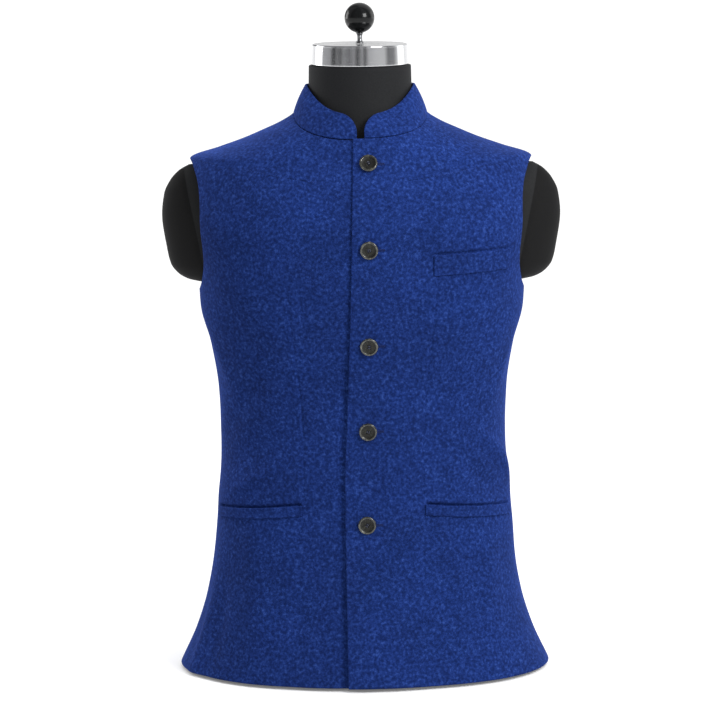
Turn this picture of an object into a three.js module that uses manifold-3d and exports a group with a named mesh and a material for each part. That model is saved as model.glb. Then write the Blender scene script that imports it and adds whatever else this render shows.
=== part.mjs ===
// A sleeveless Nehru jacket, buttoned, on a counter-top dress form.
// The jacket is two fronts, a one-piece back, a band collar, three welts and five buttons.
// The form is one smooth torso with short arm stubs, a neck block, a metal neck cap and a knob.
// Millimetres, +Z up. The front faces -Y, and +X is the wearer's left.
// The origin is the middle of the form's flat lower end.
import * as THREE from "three";
import { mergeVertices } from "three/addons/utils/BufferGeometryUtils.js";
import Module from "manifold-3d";

// ---------- Driving dimensions ----------
const CLOTH = 2.4; // wool face, canvas and facing, pressed together
const SEAM_GAP = 0.3; // between two pieces sewn edge to edge
const LAYER_GAP = 1.2; // between the two fronts where they overlap
const PATCH_GAP = 1.2; // between a panel and a welt that lies on it

const HEM = 4; // the hem hangs just clear of the surface the form stands on
const UNDERARM = 482; // lowest point of the armhole
const SHOULDER_TIP = 643; // outer end of the shoulder seam
const NECK_POINT = 697; // inner end of the shoulder seam
const FRONT_NECK = 671; // neckline at the centre front
const BACK_NECK = 690; // neckline at the centre back

const ARMHOLE_FRONT = 60; // how far the armhole reaches forward of the side line
const ARMHOLE_BACK = 58; // and behind it
const ARMHOLE_FULLNESS = 0.85; // power of its curve: 1 is a plain oval, and less is fuller
const NECKLINE_POWER = { front: 3.2, back: 2 }; // a higher one stays low further round the neck

const UNDER_EDGE = 28; // the inner front's edge, to the wearer's left of the centre front
const SETTLE = { from: 4, to: 50 }; // where, past that edge, the outer front sinks to the body

const COLLAR = {
  gap: 9.2, // between the two rounded ends at the centre front
  corner: 24, // radius of the rounded ends
  height: 33, // along the cloth, at the centre front
  clear: 0.6, // between its lower edge and the neckline's facets
  bow: 1.5, // how far the band bulges outward at half height
  top: { side: 65, front: 68, back: 64 }, // half-axes of the top edge
  rise: { front: 29, side: 36, back: 38 }, // from the neckline to the top edge
};

const BUTTON = {
  radius: 11,
  thickness: 3.6,
  bevel: 1.5, // round the back's edge
  round: 0.9, // round the front's edge
  rim: 2.2, // width of the raised rim
  slope: 1.8, // width of the fall from the rim to the dish
  dish: 1.2, // depth of the dish
  hole: 1.1, // radius of each thread hole
  spread: 2.5, // between the holes' axes
};
const BUTTON_STANDOFF = 1; // the thread shank under each button
// Each button's height and its distance to the wearer's left of the centre front.
const BUTTONS = [
  { z: 641, x: 9 },
  { z: 543, x: 9 },
  { z: 426, x: 8 },
  { z: 319, x: 6 },
  { z: 203, x: 4 },
];

// The body of the jacket, as sections at heights z. side, front and back are the reaches of the
// cloth's inner face from the vertical axis, and square is the section's roundness exponent.
const BODY = [
  { z: 4, side: 231, front: 141, back: 136, square: 2.1 },
  { z: 50, side: 210, front: 131, back: 130, square: 2.15 },
  { z: 95, side: 196, front: 124, back: 125, square: 2.2 },
  { z: 150, side: 186, front: 117, back: 119, square: 2.25 },
  { z: 215, side: 180, front: 112, back: 111, square: 2.3 },
  { z: 297, side: 175.5, front: 108, back: 102, square: 2.3 },
  { z: 358, side: 177.5, front: 111, back: 101, square: 2.3 },
  { z: 415, side: 186, front: 118, back: 107, square: 2.35 },
  { z: 462, side: 198, front: 124, back: 113, square: 2.4 },
  { z: 510, side: 201, front: 128, back: 118, square: 2.4 },
  { z: 560, side: 210, front: 128, back: 120, square: 2.4 },
  { z: 600, side: 213, front: 119, back: 115, square: 2.25 },
  { z: 627, side: 213.5, front: 107, back: 104, square: 2.1 },
  { z: 643, side: 209, front: 98, back: 96, square: 2.0 },
  { z: 655, side: 175, front: 92, back: 89, square: 2.0 },
  { z: 665.5, side: 145, front: 87, back: 83, square: 2.0 },
  { z: 676, side: 120, front: 81, back: 77, square: 2.0 },
  { z: 686, side: 98, front: 75, back: 72, square: 2.0 },
  { z: 697, side: 81, front: 69, back: 68, square: 2.0 },
  { z: 710, side: 72, front: 66, back: 66, square: 2.0 },
];

// The dress form inside it, in the same terms, up to the flat top of the neck block.
const FORM = [
  { z: 0, side: 168, front: 106, back: 105, square: 2.2 },
  { z: 60, side: 171, front: 108, back: 108, square: 2.2 },
  { z: 130, side: 171, front: 105, back: 106, square: 2.2 },
  { z: 215, side: 165, front: 101, back: 98, square: 2.2 },
  { z: 290, side: 160, front: 98, back: 91, square: 2.2 },
  { z: 350, side: 164, front: 101, back: 91, square: 2.25 },
  { z: 415, side: 175, front: 109, back: 98, square: 2.3 },
  { z: 480, side: 190, front: 118, back: 108, square: 2.35 },
  { z: 540, side: 197, front: 122, back: 112, square: 2.35 },
  { z: 595, side: 203, front: 114, back: 109, square: 2.2 },
  { z: 635, side: 202, front: 89, back: 87, square: 2.0 },
  { z: 648, side: 170, front: 84, back: 82, square: 2.0 },
  { z: 659, side: 141, front: 79, back: 75, square: 2.0 },
  { z: 669, side: 118, front: 73.5, back: 70, square: 2.0 },
  { z: 680, side: 95, front: 68, back: 65.5, square: 2.0 },
  { z: 692, side: 77, front: 63.5, back: 63.5, square: 2.0 },
  { z: 705, side: 68.5, front: 61.5, back: 62, square: 2.0 },
  { z: 718, side: 64, front: 60.5, back: 60.5, square: 2.0 },
  { z: 757, side: 63, front: 60, back: 60, square: 2.0 },
];
const FORM_TOP = FORM[FORM.length - 1].z;

// Each arm stub, as oval sections from its lower end to its top: how far it reaches sideways
// from the form's axis, and its half-depth.
const STUB_ROOT = 150; // the stub's sections start this far out, inside the torso
const STUB = [
  { z: 491, reach: 204, depth: 22 },
  { z: 494, reach: 216, depth: 31 },
  { z: 501, reach: 228, depth: 37 },
  { z: 513, reach: 237, depth: 41 },
  { z: 535, reach: 242, depth: 43 },
  { z: 574, reach: 247, depth: 44 },
  { z: 600, reach: 244, depth: 42 },
  { z: 617, reach: 236, depth: 37 },
  { z: 629, reach: 225, depth: 29 },
  { z: 636, reach: 213, depth: 18 },
];

const CAP = { radius: 59.5, foot: 1, height: 25, edge: 1.5 };
const STEM = {
  radius: 3.2,
  height: 12.5,
  foot: { radius: 5, height: 1.5, flare: 2.5 },
  head: { radius: 4.4, flare: 2 },
};
const KNOB_RADIUS = 18.5;

// The outer front's free edge runs beyond the centre front, to the wearer's right.
const OVERLAP_EDGE = [
  { z: 4, x: -20 },
  { z: 163, x: -22 },
  { z: 235, x: -22.5 },
  { z: 362, x: -18 },
  { z: 483, x: -13.5 },
  { z: 671, x: -9 },
];

// Broad folds of the hanging cloth. turn is the angle round the body from the centre front,
// positive to the wearer's left; lean tips the fold's length from level, positive down as it
// goes to the wearer's left; depth is outward.
const FOLDS = [
  { turn: 68, z: 280, lean: 35, length: 52, width: 15, depth: 4 },
  { turn: 66, z: 246, lean: 38, length: 50, width: 17, depth: -4 },
  { turn: -62, z: 243, lean: -20, length: 48, width: 15, depth: 4 },
  { turn: -60, z: 292, lean: -30, length: 55, width: 24, depth: -4 },
  { turn: 84, z: 205, lean: 88, length: 60, width: 26, depth: 3.5 },
  { turn: -62, z: 440, lean: 55, length: 60, width: 20, depth: -3 },
  { turn: 64, z: 446, lean: -55, length: 55, width: 20, depth: -3 },
  { turn: 128, z: 300, lean: 12, length: 60, width: 20, depth: -4 },
  { turn: -124, z: 316, lean: -16, length: 65, width: 20, depth: -4 },
  { turn: 117, z: 452, lean: 60, length: 60, width: 20, depth: -3 },
  { turn: -119, z: 446, lean: -58, length: 55, width: 20, depth: -3 },
];
const UNROLL = 150; // a mean radius, for lengths along the cloth

// Welts, as strips lying on a front, from one angle round the body to another. z is the height
// of the inner end's lower corner, and climb is how much higher the outer end lies.
const CHEST_WELT = { from: 35.5, to: 67, z: 510, height: 25, climb: 3 };
const HIP_WELT = { from: 35.5, to: 80, z: 213, height: 13, climb: -14 };
const WELT_CLOTH = 2;

// Grid sizes of the faceted pieces. Corners of an outline fall on grid lines.
const GRID = {
  columns: 16, // across a front, or half the back
  rows: { side: 13, armhole: 7, shoulder: 8 }, // up each stretch of a panel's outer edge
  collar: { columns: 44, crowding: 0.11, rings: [0, 0.14, 0.42, 0.7, 1] },
  welt: { columns: 14, rows: 2 },
  torso: { around: 44, evenRings: 13, evenTo: 620 },
  stub: { around: 20 },
  button: { around: 24, hole: 8 },
  cap: { around: 48 },
  stem: { around: 20 },
  knob: { around: 24, rings: 14 },
};
// Steps for working out a surface's normal: an angle, a height and a share of the collar's height.
const NUDGE = { turn: 0.002, z: 0.3, share: 0.01 };

// ---------- Small mathematics ----------
const DEG = Math.PI / 180;
const mix = (a, b, t) => a + (b - a) * t;
const steps = (n) => Array.from({ length: n + 1 }, (_, i) => i / n);
const smooth = (from, to, value) => {
  const t = Math.min(1, Math.max(0, (value - from) / (to - from)));
  return t * t * (3 - 2 * t);
};

// A smooth curve through one column of a table, by height, with no overshoot between rows.
function read(table, column, z) {
  const last = table.length - 1;
  if (z <= table[0].z) return table[0][column];
  if (z >= table[last].z) return table[last][column];
  const i = table.findIndex((row) => row.z > z) - 1;
  const slope = (k) => (table[k + 1][column] - table[k][column]) / (table[k + 1].z - table[k].z);
  const tangent = (k) => {
    if (k === 0) return slope(0);
    if (k === last) return slope(last - 1);
    const before = slope(k - 1);
    const after = slope(k);
    return before * after <= 0 ? 0 : (2 * before * after) / (before + after);
  };
  const span = table[i + 1].z - table[i].z;
  const t = (z - table[i].z) / span;
  const a = table[i][column];
  const b = table[i + 1][column];
  return (
    a * (1 + 2 * t) * (1 - t) ** 2 +
    b * t * t * (3 - 2 * t) +
    span * (tangent(i) * t * (1 - t) ** 2 - tangent(i + 1) * t * t * (1 - t))
  );
}

// ---------- The jacket's surface ----------
// How far the section at z reaches from the axis, at an angle round it from the front.
function sectionReach(table, turn, z) {
  const n = read(table, "square", z);
  const sideways = Math.abs(Math.sin(turn)) / read(table, "side", z);
  const depth = Math.cos(turn) >= 0 ? "front" : "back";
  const lengthways = Math.abs(Math.cos(turn)) / read(table, depth, z);
  return 1 / (sideways ** n + lengthways ** n) ** (1 / n);
}

function foldDepth(turn, z) {
  let out = 0;
  for (const fold of FOLDS) {
    const across = (turn - fold.turn * DEG) * UNROLL;
    const up = z - fold.z;
    const lean = fold.lean * DEG;
    const along = across * Math.cos(lean) - up * Math.sin(lean);
    const off = across * Math.sin(lean) + up * Math.cos(lean);
    out += fold.depth * Math.exp(-((along / fold.length) ** 2) - (off / fold.width) ** 2);
  }
  return out;
}

function bodyPoint(turn, z) {
  const reach = sectionReach(BODY, turn, z) + foldDepth(turn, z);
  return new THREE.Vector3(reach * Math.sin(turn), -reach * Math.cos(turn), z);
}

// The outward normal of any surface(u, v) whose u runs leftward round the wearer and v upward.
function normalOf(surface, u, v, du, dv) {
  const across = surface(u + du, v).sub(surface(u - du, v));
  const up = surface(u, v + dv).sub(surface(u, v - dv));
  return across.cross(up).normalize();
}

function bodyAt([turn, z], out) {
  const normal = normalOf(bodyPoint, turn, z, NUDGE.turn, NUDGE.z);
  return bodyPoint(turn, z).addScaledVector(normal, out);
}

// The angle at which the section at z passes a given x on the front, or y beside the body.
function turnAtX(x, z) {
  const n = read(BODY, "square", z);
  const share = Math.abs(x) / read(BODY, "side", z);
  const y = read(BODY, "front", z) * (1 - share ** n) ** (1 / n);
  return Math.atan2(x, y);
}

function turnAtY(y, z) {
  const n = read(BODY, "square", z);
  const depth = y < 0 ? "front" : "back";
  const share = Math.abs(y) / read(BODY, depth, z);
  const x = read(BODY, "side", z) * (1 - share ** n) ** (1 / n);
  return Math.atan2(x, -y);
}

// The neckline's height, by angle round the neck.
function neckline(turn) {
  const side = Math.abs(Math.sin(turn));
  if (Math.cos(turn) >= 0) return mix(FRONT_NECK, NECK_POINT, side ** NECKLINE_POWER.front);
  return mix(BACK_NECK, NECK_POINT, side ** NECKLINE_POWER.back);
}

// ---------- Cloth panels ----------
// A closed solid between two grids of points that share their edges' layout.
function clothSolid(inner, outer) {
  const rows = inner.length;
  const columns = inner[0].length;
  const position = [];
  for (const grid of [inner, outer]) {
    for (const row of grid) for (const p of row) position.push(p.x, p.y, p.z);
  }
  const at = (layer, row, column) => (layer * rows + row) * columns + column;
  const index = [];
  const quad = (a, b, c, d) => index.push(a, b, c, a, c, d);
  for (let r = 0; r + 1 < rows; r++) {
    for (let c = 0; c + 1 < columns; c++) {
      quad(at(1, r, c), at(1, r, c + 1), at(1, r + 1, c + 1), at(1, r + 1, c));
      quad(at(0, r, c), at(0, r + 1, c), at(0, r + 1, c + 1), at(0, r, c + 1));
    }
  }
  for (let c = 0; c + 1 < columns; c++) {
    quad(at(0, 0, c), at(0, 0, c + 1), at(1, 0, c + 1), at(1, 0, c));
    const top = rows - 1;
    quad(at(1, top, c), at(1, top, c + 1), at(0, top, c + 1), at(0, top, c));
  }
  for (let r = 0; r + 1 < rows; r++) {
    quad(at(1, r, 0), at(1, r + 1, 0), at(0, r + 1, 0), at(0, r, 0));
    const end = columns - 1;
    quad(at(0, r, end), at(0, r + 1, end), at(1, r + 1, end), at(1, r, end));
  }
  const geometry = new THREE.BufferGeometry();
  geometry.setAttribute("position", new THREE.Float32BufferAttribute(position, 3));
  geometry.setIndex(index);
  return geometry;
}

// Fills a four-sided outline of (turn, z) curves with a grid, as a blend of its four edges.
function fillOutline({ bottom, top, left, right }, columns, rows) {
  return steps(rows).map((t) =>
    steps(columns).map((s) =>
      [0, 1].map((axis) => {
        const edges =
          mix(bottom(s)[axis], top(s)[axis], t) + mix(left(t)[axis], right(t)[axis], s);
        const lower = mix(bottom(0)[axis], bottom(1)[axis], s);
        const upper = mix(top(0)[axis], top(1)[axis], s);
        return edges - mix(lower, upper, t);
      }),
    ),
  );
}

// A panel of cloth over a grid of (turn, z); lift says how far it lies off the body's surface.
function panel(grid, lift = () => 0) {
  const layer = (out) => grid.map((row) => row.map((p) => bodyAt(p, lift(p) + out)));
  return clothSolid(layer(0), layer(CLOTH));
}

const ROWS = GRID.rows.side + GRID.rows.armhole + GRID.rows.shoulder;
const ARMHOLE_MIDDLE = (UNDERARM + SHOULDER_TIP) / 2;
const ARMHOLE_HALF = (SHOULDER_TIP - UNDERARM) / 2;

// A panel's outer edge at a row of its grid: up the side seam to the underarm, round the armhole
// to the shoulder tip, and in along the shoulder seam to the neck point. reach is how far the
// armhole bites into the panel, negative for a front and positive for a back.
function outerEdge(reach, row) {
  const { side, armhole, shoulder } = GRID.rows;
  const clear = (Math.sign(reach) * SEAM_GAP) / 2;
  if (row <= side) {
    const z = mix(HEM, UNDERARM, row / side);
    return [turnAtY(clear, z), z];
  }
  if (row <= side + armhole) {
    const round = Math.PI * (1 - (row - side) / armhole);
    const z = ARMHOLE_MIDDLE + ARMHOLE_HALF * Math.cos(round);
    const bite = reach * Math.abs(Math.sin(round)) ** ARMHOLE_FULLNESS;
    return [turnAtY(clear + bite, z), z];
  }
  const z = mix(SHOULDER_TIP, NECK_POINT, (row - side - armhole) / shoulder);
  return [turnAtY(clear, z), z];
}

// The middle edge's height at the row where the outer edge is at z.
const middleHeight = (top, z) => mix(HEM, top, (z - HEM) / (NECK_POINT - HEM));

// The wearer's left front, from its free edge to the side. The other front mirrors it.
function frontGrid(edgeX) {
  const edge = (z) => turnAtX(edgeX(z), z);
  const outer = (t) => outerEdge(-ARMHOLE_FRONT, t * ROWS);
  return fillOutline(
    {
      bottom: (s) => [mix(edge(HEM), outer(0)[0], s), HEM],
      left: (t) => {
        const z = middleHeight(FRONT_NECK, outer(t)[1]);
        return [edge(z), z];
      },
      right: outer,
      top: (s) => {
        const turn = mix(edge(FRONT_NECK), outer(1)[0], s);
        return [turn, neckline(turn)];
      },
    },
    GRID.columns,
    ROWS,
  );
}

const mirrored = (grid) => grid.map((row) => row.map(([turn, z]) => [-turn, z]).reverse());

// The outer front rises over the inner one and settles back onto the body beside it.
function overlapLift([turn, z]) {
  const across = turn * read(BODY, "front", z);
  const settled = smooth(UNDER_EDGE + SETTLE.from, UNDER_EDGE + SETTLE.to, across);
  return (CLOTH + LAYER_GAP) * (1 - settled);
}

// The back, in one piece, from the wearer's left side round to the right side.
function backGrid() {
  const outer = (t) => outerEdge(ARMHOLE_BACK, t * ROWS);
  const half = fillOutline(
    {
      bottom: (s) => [mix(outer(0)[0], Math.PI, s), HEM],
      left: outer,
      right: (t) => [Math.PI, middleHeight(BACK_NECK, outer(t)[1])],
      top: (s) => {
        const turn = mix(outer(1)[0], Math.PI, s);
        return [turn, neckline(turn)];
      },
    },
    GRID.columns,
    ROWS,
  );
  return half.map((row) => {
    const other = row.slice(0, -1).map(([turn, z]) => [2 * Math.PI - turn, z]);
    return row.concat(other.reverse());
  });
}

// ---------- The collar ----------
// The band's inner face: turn goes round the neck and v from the neckline to the top edge.
function collarPoint(turn, v) {
  const seam = [turn, neckline(turn) + COLLAR.clear];
  const foot = bodyAt(seam, overlapLift(seam));
  const { top, rise } = COLLAR;
  const front = Math.cos(turn) >= 0;
  const depth = front ? top.front : top.back;
  const side = Math.sin(turn) ** 2;
  const lift = mix(front ? rise.front : rise.back, rise.side, side);
  const reach = 1 / Math.hypot(Math.sin(turn) / top.side, Math.cos(turn) / depth);
  const head = new THREE.Vector3(
    reach * Math.sin(turn),
    -reach * Math.cos(turn),
    neckline(turn) + lift,
  );
  const point = foot.clone().lerp(head, v);
  const out = COLLAR.bow * 4 * v * (1 - v);
  return point.add(new THREE.Vector3(Math.sin(turn), -Math.cos(turn), 0).multiplyScalar(out));
}

// How much of the band's height is there, at a distance along the seam from its rounded end.
function collarShare(distance) {
  const { height, corner } = COLLAR;
  if (distance >= corner) return 1;
  return (height - corner + Math.sqrt(corner ** 2 - (corner - distance) ** 2)) / height;
}

function collar() {
  const seamRadius = -bodyPoint(0, FRONT_NECK).y;
  const start = COLLAR.gap / 2 / seamRadius;
  const turns = steps(GRID.collar.columns).map((s) => {
    const eased = s - GRID.collar.crowding * Math.sin(2 * Math.PI * s); // closer at the ends
    return mix(start, 2 * Math.PI - start, eased);
  });
  const layer = (out) =>
    GRID.collar.rings.map((v) =>
      turns.map((turn) => {
        const distance = Math.min(turn - start, 2 * Math.PI - start - turn) * seamRadius;
        const height = v * collarShare(distance);
        const normal =
          v === 0
            ? normalOf(bodyPoint, turn, neckline(turn), NUDGE.turn, NUDGE.z)
            : normalOf(collarPoint, turn, height, NUDGE.turn, NUDGE.share);
        return collarPoint(turn, height).addScaledVector(normal, out);
      }),
    );
  return clothSolid(layer(0), layer(CLOTH));
}

// ---------- Welts ----------
// A strip on a front. direction is 1 on the wearer's left and -1 on the right.
function welt({ from, to, z, height, climb }, direction) {
  const grid = steps(GRID.welt.rows).map((v) =>
    steps(GRID.welt.columns).map((u) => [
      direction * mix(from, to, u) * DEG,
      z + climb * u + height * v,
    ]),
  );
  if (direction < 0) grid.forEach((row) => row.reverse());
  const onPanel = (p) => (direction > 0 ? overlapLift(p) : 0) + CLOTH + PATCH_GAP;
  const layer = (out) => grid.map((row) => row.map((p) => bodyAt(p, onPanel(p) + out)));
  return clothSolid(layer(0), layer(WELT_CLOTH));
}

// ---------- Booleans ----------
const wasm = await Module();
wasm.setup();

function toManifold(geometry) {
  const bare = geometry.clone();
  bare.deleteAttribute("normal");
  bare.deleteAttribute("uv");
  const merged = mergeVertices(bare, 1e-4);
  return new wasm.Manifold(
    new wasm.Mesh({
      numProp: 3,
      vertProperties: merged.attributes.position.array,
      triVerts: new Uint32Array(merged.index.array),
    }),
  );
}

function fromManifold(solid) {
  const mesh = solid.getMesh();
  const geometry = new THREE.BufferGeometry();
  geometry.setAttribute("position", new THREE.BufferAttribute(mesh.vertProperties, 3));
  geometry.setIndex(new THREE.BufferAttribute(mesh.triVerts, 1));
  return geometry;
}

// ---------- Buttons ----------
// A part turned from a profile of radii and heights, its axis along +Z.
function turned(profile, segments) {
  const points = profile.map(([r, h]) => new THREE.Vector2(r, h));
  return new THREE.LatheGeometry(points, segments).rotateX(Math.PI / 2);
}

// A turned disc with a raised rim round a dish, with four thread holes, its axis along +Z.
function buttonGeometry() {
  const { radius, thickness, bevel, round, rim, slope, dish, hole, spread } = BUTTON;
  const profile = [
    [0, 0],
    [radius - bevel, 0],
    [radius, bevel],
    [radius, thickness - round],
    [radius - round, thickness],
    [radius - rim, thickness],
    [radius - rim - slope, thickness - dish],
    [0, thickness - dish],
  ];
  let button = toManifold(turned(profile, GRID.button.around));
  for (const [x, y] of [[1, 1], [-1, 1], [-1, -1], [1, -1]]) {
    const drill = new THREE.CylinderGeometry(hole, hole, 3 * thickness, GRID.button.hole);
    drill.rotateX(Math.PI / 2);
    drill.translate((x * spread) / 2, (y * spread) / 2, 0);
    button = button.subtract(toManifold(drill));
  }
  return fromManifold(button);
}

// ---------- The dress form ----------
// A closed loft through rings of points, capped flat at both ends, lowest ring first.
function loft(rings) {
  const around = rings[0].length;
  const position = rings.flat().flatMap((p) => [p.x, p.y, p.z]);
  const index = [];
  rings.slice(1).forEach((_, r) => {
    for (let k = 0; k < around; k++) {
      const a = r * around + k;
      const b = r * around + ((k + 1) % around);
      index.push(a, b, b + around, a, b + around, a + around);
    }
  });
  const ends = [0, rings.length - 1];
  ends.forEach((r) => {
    const centre = position.length / 3;
    const middle = rings[r].reduce((sum, p) => sum.add(p), new THREE.Vector3());
    middle.divideScalar(around);
    position.push(middle.x, middle.y, middle.z);
    for (let k = 0; k < around; k++) {
      const a = r * around + k;
      const b = r * around + ((k + 1) % around);
      index.push(...(r === 0 ? [centre, b, a] : [centre, a, b]));
    }
  });
  const geometry = new THREE.BufferGeometry();
  geometry.setAttribute("position", new THREE.Float32BufferAttribute(position, 3));
  geometry.setIndex(index);
  return geometry;
}

// The torso's rings are evenly spaced up to the shoulders, with one at each row above them.
function torso() {
  const { around, evenRings, evenTo } = GRID.torso;
  const even = steps(evenRings).map((t) => t * evenTo);
  const above = FORM.filter((row) => row.z > evenTo).map((row) => row.z);
  const rings = [...even, ...above].map((z) =>
    steps(around)
      .slice(0, -1)
      .map((t) => {
        const turn = 2 * Math.PI * t;
        const reach = sectionReach(FORM, turn, z);
        return new THREE.Vector3(reach * Math.sin(turn), -reach * Math.cos(turn), z);
      }),
  );
  return loft(rings);
}

function stub(side) {
  const rings = STUB.map(({ z, reach, depth }) =>
    steps(GRID.stub.around)
      .slice(0, -1)
      .map((t) => {
        const turn = 2 * Math.PI * t;
        const x = STUB_ROOT + (reach - STUB_ROOT) * Math.sin(turn);
        return new THREE.Vector3(side * x, -side * depth * Math.cos(turn), z);
      }),
  );
  return loft(rings);
}

function dressForm() {
  return fromManifold(
    [stub(1), stub(-1)].reduce((whole, arm) => whole.add(toManifold(arm)), toManifold(torso())),
  );
}

// ---------- On the neck ----------
function neckCap() {
  const { radius, height, edge } = CAP;
  return turned(
    [
      [0, 0],
      [radius - edge, 0],
      [radius, edge],
      [radius, height - edge],
      [radius - edge, height],
      [0, height],
    ],
    GRID.cap.around,
  );
}

function stem() {
  const { radius, height, foot, head } = STEM;
  return turned(
    [
      [0, 0],
      [foot.radius, 0],
      [foot.radius, foot.height],
      [radius, foot.height + foot.flare],
      [radius, height - head.flare],
      [head.radius, height],
      [0, height],
    ],
    GRID.stem.around,
  );
}

function knob() {
  const { around, rings } = GRID.knob;
  return new THREE.SphereGeometry(KNOB_RADIUS, around, rings).rotateX(Math.PI / 2);
}

// ---------- Assembly ----------
const jacket = new THREE.Group();
const finish = (colour, roughness, metalness) =>
  new THREE.MeshStandardMaterial({ color: colour, roughness, metalness });
const WOOL = finish(0x233772, 0.9, 0);
const HORN = finish(0x2b2c2a, 0.35, 0);
const FORM_COVER = finish(0x2b2c2d, 0.85, 0);
const CHROME = finish(0xc9cacb, 0.12, 1);
const KNOB_PLASTIC = finish(0x1d1e1d, 0.25, 0);

function place(name, geometry, material, z = 0) {
  const mesh = new THREE.Mesh(geometry, material);
  mesh.name = name;
  mesh.position.z = z;
  jacket.add(mesh);
  return mesh;
}

place("front_left", panel(frontGrid((z) => read(OVERLAP_EDGE, "x", z)), overlapLift), WOOL);
place("front_right", panel(mirrored(frontGrid(() => -UNDER_EDGE))), WOOL);
place("back", panel(backGrid()), WOOL);
place("collar", collar(), WOOL);
place("chest_welt", welt(CHEST_WELT, 1), WOOL);
place("hip_welt_left", welt(HIP_WELT, 1), WOOL);
place("hip_welt_right", welt(HIP_WELT, -1), WOOL);

const buttonShape = buttonGeometry();
BUTTONS.forEach(({ z, x }, i) => {
  const spot = [turnAtX(x, z), z];
  const normal = normalOf(bodyPoint, ...spot, NUDGE.turn, NUDGE.z);
  const out = overlapLift(spot) + CLOTH + BUTTON_STANDOFF;
  const mesh = place(`button_${i + 1}`, buttonShape, HORN);
  mesh.position.copy(bodyAt(spot, out));
  mesh.quaternion.setFromUnitVectors(new THREE.Vector3(0, 0, 1), normal);
});

place("dress_form", dressForm(), FORM_COVER);
const capFoot = FORM_TOP + CAP.foot;
const stemFoot = capFoot + CAP.height + SEAM_GAP;
place("neck_cap", neckCap(), CHROME, capFoot);
place("knob_stem", stem(), CHROME, stemFoot);
place("knob", knob(), KNOB_PLASTIC, stemFoot + STEM.height + SEAM_GAP + KNOB_RADIUS);

export default jacket;
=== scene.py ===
import math

import bmesh
import bpy
import numpy as np
from mathutils import Matrix, Vector


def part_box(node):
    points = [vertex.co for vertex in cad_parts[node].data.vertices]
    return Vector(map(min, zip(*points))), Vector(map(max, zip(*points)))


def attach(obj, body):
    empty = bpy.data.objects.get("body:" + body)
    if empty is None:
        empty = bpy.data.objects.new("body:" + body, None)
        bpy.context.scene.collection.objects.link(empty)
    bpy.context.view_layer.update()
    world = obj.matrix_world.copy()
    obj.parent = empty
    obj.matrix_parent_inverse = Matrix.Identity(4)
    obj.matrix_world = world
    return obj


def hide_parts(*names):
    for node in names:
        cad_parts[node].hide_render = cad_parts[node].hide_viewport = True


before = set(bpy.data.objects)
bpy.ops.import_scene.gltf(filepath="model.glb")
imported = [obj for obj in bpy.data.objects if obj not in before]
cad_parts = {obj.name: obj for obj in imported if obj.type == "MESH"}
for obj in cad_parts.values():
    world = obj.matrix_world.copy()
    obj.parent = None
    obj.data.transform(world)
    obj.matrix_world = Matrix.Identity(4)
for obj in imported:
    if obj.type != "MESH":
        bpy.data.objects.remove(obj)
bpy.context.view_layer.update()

# ---------------------------------------------------------------------------
# Camera. A long lens, almost level with the chest, looks slightly down at the
# front and is turned half a degree on its axis.
AIM = Vector((-0.003, 0, 0.389))
CAMERA_DISTANCE = 3.8
CAMERA_ELEVATION = math.radians(9)
CAMERA_ROLL = math.radians(-0.5)
SENSOR = 36.0
LENS = 152.0


def look_at(thing, spot, aim):
    facing = (spot - aim).to_track_quat("Z", "Y").to_matrix().to_4x4()
    thing.matrix_world = Matrix.Translation(spot) @ facing


def add_to_scene(name, data):
    thing = bpy.data.objects.new(name, data)
    bpy.context.scene.collection.objects.link(thing)
    return thing


camera = add_to_scene("camera", bpy.data.cameras.new("camera"))
camera.data.sensor_width = SENSOR
camera.data.lens = LENS
camera.data.clip_end = 50
back_off = Vector((0, -math.cos(CAMERA_ELEVATION), math.sin(CAMERA_ELEVATION)))
look_at(camera, AIM + CAMERA_DISTANCE * back_off, AIM)
camera.matrix_world = camera.matrix_world @ Matrix.Rotation(CAMERA_ROLL, 4, "Z")
bpy.context.scene.camera = camera
bpy.context.scene.view_settings.view_transform = "Standard"

# ---------------------------------------------------------------------------
# Floor and light. A matt white floor runs far back, in a white studio that is brighter on
# the viewer's right, with a soft key lamp there and a rim lamp behind on each side.
FLOOR_HALF = 40.0


def linear(hex_colour):
    parts = [int(hex_colour[i:i + 2], 16) / 255 for i in (1, 3, 5)]
    return tuple(c / 12.92 if c <= 0.04045 else ((c + 0.055) / 1.055) ** 2.4 for c in parts) + (1,)


def node(tree, kind, settings=None, inputs=None):
    """Adds one node. Its inputs, by name or by place, are values or sockets to link from."""
    made = tree.nodes.new(kind)
    for name, value in (settings or {}).items():
        setattr(made, name, value)
    for name, value in (inputs or {}).items():
        if isinstance(value, bpy.types.NodeSocket):
            tree.links.new(value, made.inputs[name])
        else:
            made.inputs[name].default_value = value
    return made


def material(name, base, **values):
    """A principled material. base is a hex colour, and values are set on the shader's sockets."""
    made = bpy.data.materials.new(name)
    made.use_nodes = True
    shader = made.node_tree.nodes["Principled BSDF"]
    shader.inputs["Base Color"].default_value = linear(base)
    for socket, value in values.items():
        shader.inputs[socket.replace("_", " ")].default_value = value
    return made, made.node_tree, shader


def ramp(tree, source, stops):
    made = node(tree, "ShaderNodeValToRGB", {}, {"Fac": source})
    elements = made.color_ramp.elements
    while len(elements) < len(stops):
        elements.new(0.5)
    for element, (position, colour) in zip(elements, stops):
        element.position = position
        element.color = linear(colour)
    return made.outputs["Color"]


floor_paint, tree, shader = material(
    "matt_floor_paint", "#fafafa", Roughness=0.95, Specular_IOR_Level=0.0,
    Emission_Color=(1, 1, 1, 1), Emission_Strength=0.14,
)
mottle = node(tree, "ShaderNodeTexNoise", {}, {"Scale": 3.0})
tree.links.new(
    ramp(tree, mottle.outputs["Fac"], [(0.3, "#f8f8f8"), (0.7, "#fdfdfd")]),
    shader.inputs["Base Color"],
)
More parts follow.
